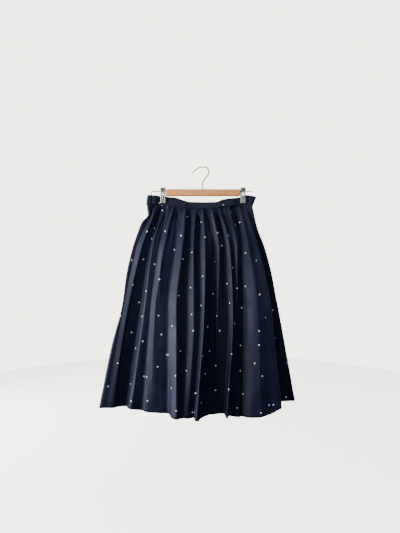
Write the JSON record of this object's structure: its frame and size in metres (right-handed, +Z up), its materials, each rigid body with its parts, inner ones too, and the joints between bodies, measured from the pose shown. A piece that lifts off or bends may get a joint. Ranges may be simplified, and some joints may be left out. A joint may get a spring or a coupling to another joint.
{
  "type": "gathered skirt on clip hanger",
  "caption": "Gathered midi skirt with a folded waistband and belt loops, hanging flat from a wooden bar hanger with two metal clips and a wire hook.",
  "frame": {"origin": "the underside of the top of the hanger's hook, where a rail or nail carries it", "axes": "+Z up, the front of the skirt faces -Y, +X to the right of someone looking at the front"},
  "size_m": [0.6212, 0.1228, 0.7707],
  "materials": {
    "cloth": "satin weave",
    "button": "polished",
    "wood": "thin clear varnish",
    "steel": "polished",
    "rubber": "matt"
  },
  "bodies": {
    "root": {"front_panel": "cloth", "back_panel": "cloth", "waistband": "cloth", "belt_loop_front_left": "cloth", "belt_loop_front_right": "cloth", "belt_loop_back_left": "cloth", "belt_loop_back_right": "cloth", "button": "button", "hanger_bar": "wood", "hanger_rod": "steel", "hanger_hook": "steel", "clip_left_front_jaw": "steel", "clip_left_front_pad": "rubber", "clip_left_back_jaw": "steel", "clip_left_back_pad": "rubber", "clip_left_spring": "steel", "clip_right_front_jaw": "steel", "clip_right_front_pad": "rubber", "clip_right_back_jaw": "steel", "clip_right_back_pad": "rubber", "clip_right_spring": "steel"}
  },
  "joints": []
}
